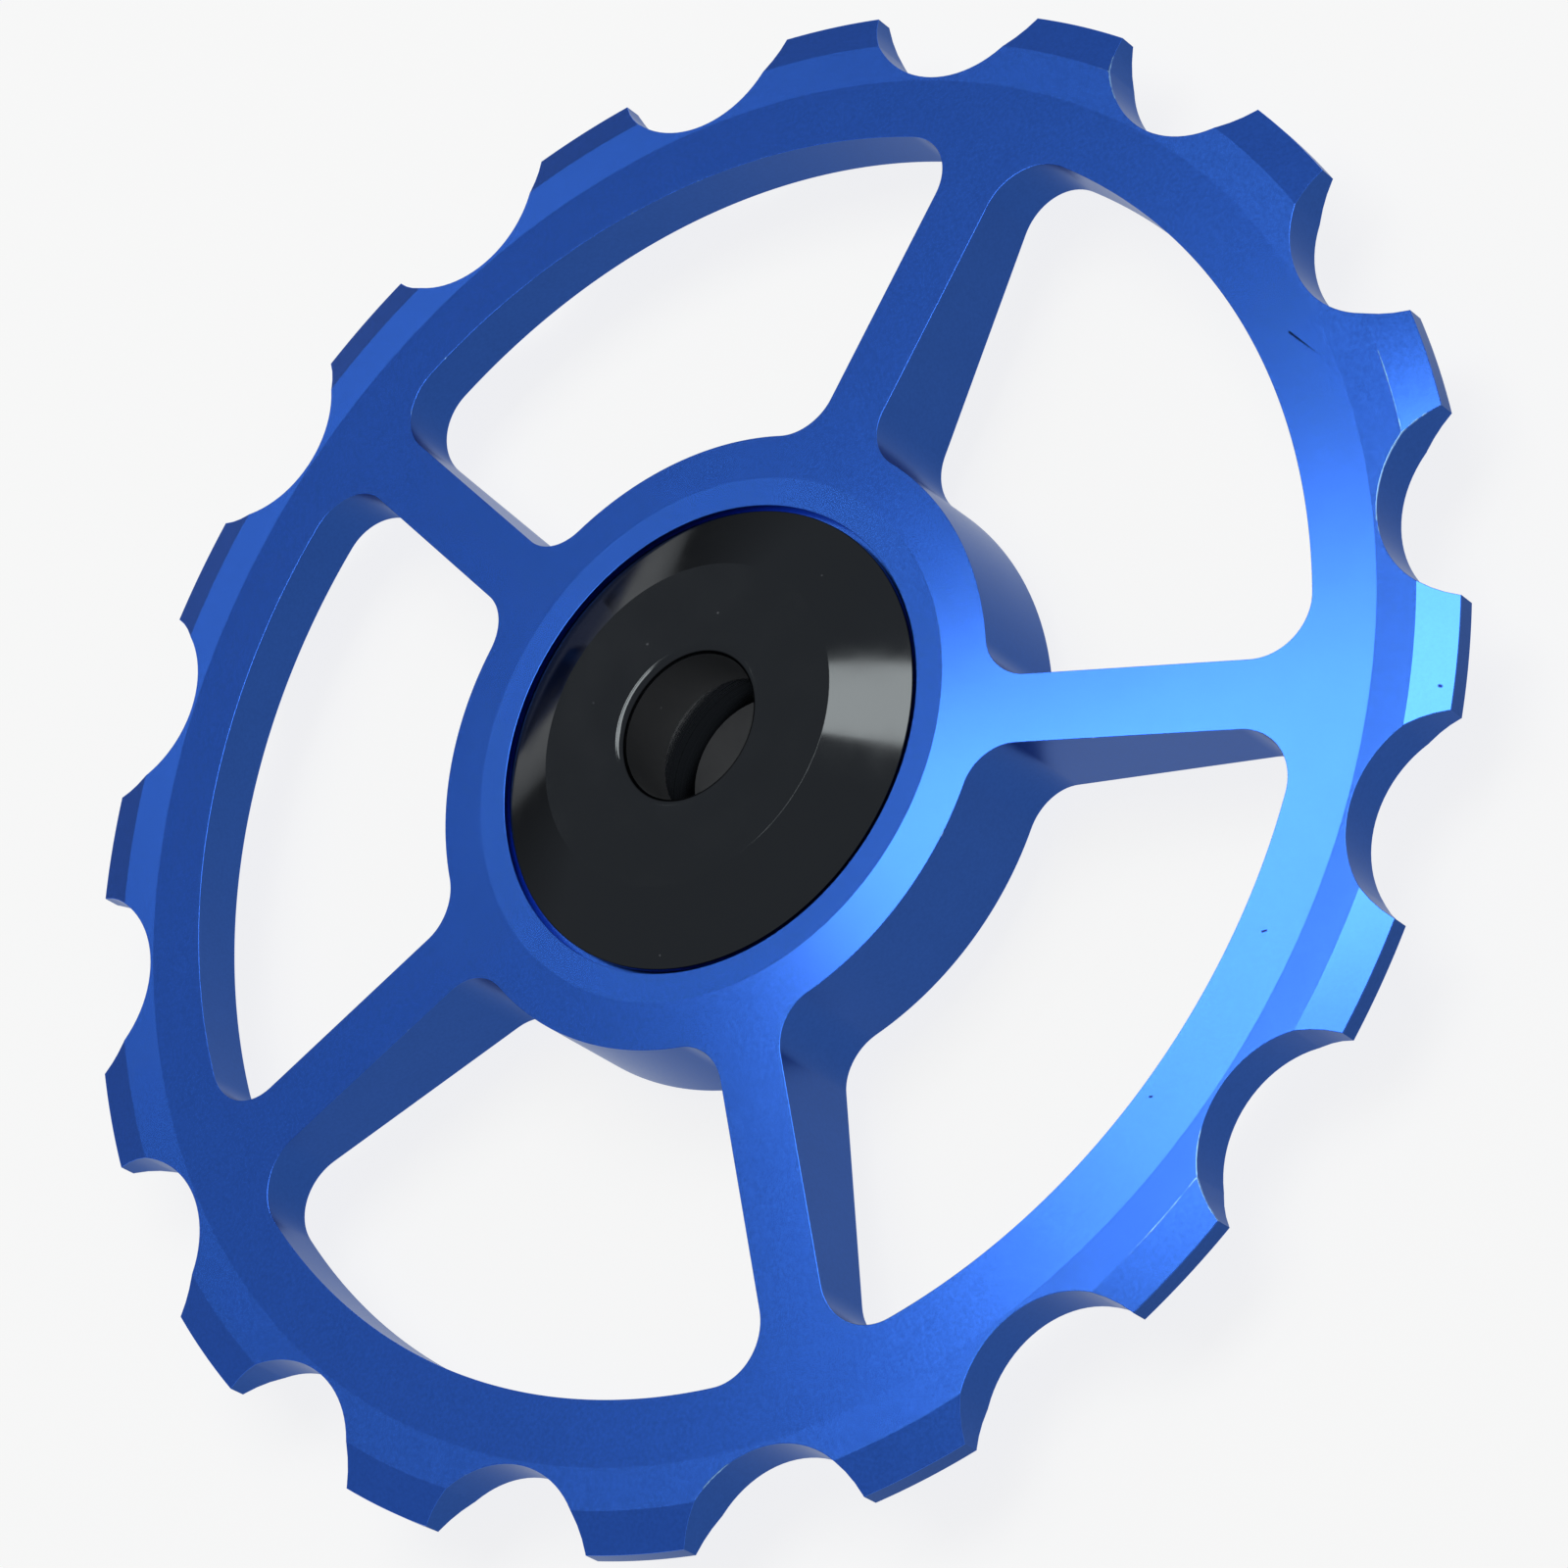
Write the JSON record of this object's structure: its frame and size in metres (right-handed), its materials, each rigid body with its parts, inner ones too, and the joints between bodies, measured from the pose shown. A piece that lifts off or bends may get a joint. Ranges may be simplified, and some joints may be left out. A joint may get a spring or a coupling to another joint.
{
  "type": "derailleur jockey wheel",
  "caption": "Toothed derailleur jockey wheel in blue anodised aluminium with spokes, black end caps and a sealed ball bearing on a plain axle bore.",
  "frame": {"origin": "middle of the axle bore, on the plane that halves the wheel's thickness", "axes": "+Z along the axle bore out of the front end cap, +X through the middle of the spoke that meets the rim under a tooth gap"},
  "size_m": [0.0628, 0.0628, 0.0078],
  "materials": {
    "blue_anodised_aluminium": "satin anodised",
    "black_anodised_aluminium": "gloss anodised",
    "bearing_steel": "ground",
    "cage_nylon": "moulded",
    "seal_rubber": "moulded",
    "ball_ceramic": "lapped"
  },
  "bodies": {
    "axle_set": {"front_end_cap": "black_anodised_aluminium", "rear_end_cap": "black_anodised_aluminium", "bearing_inner_ring": "bearing_steel"},
    "wheel": {"pulley_wheel": "blue_anodised_aluminium", "bearing_outer_ring": "bearing_steel", "front_bearing_seal": "seal_rubber", "rear_bearing_seal": "seal_rubber"},
    "ball_set": {"ball_cage": "cage_nylon", "ball_01": "ball_ceramic", "ball_02": "ball_ceramic", "ball_03": "ball_ceramic", "ball_04": "ball_ceramic", "ball_05": "ball_ceramic", "ball_06": "ball_ceramic", "ball_07": "ball_ceramic"}
  },
  "joints": [
    {"name": "wheel_spin", "type": "hinge", "parent": "axle_set", "child": "wheel", "pos_m": [0, 0, 0], "axis": [0, 0, 1], "continuous": true},
    {"name": "cage_spin", "type": "hinge", "parent": "axle_set", "child": "ball_set", "pos_m": [0, 0, 0], "axis": [0, 0, 1], "continuous": true}
  ],
  "couplings": [
    {"joint": "cage_spin", "follows": "wheel_spin", "ratio": 0.58333}
  ]
}
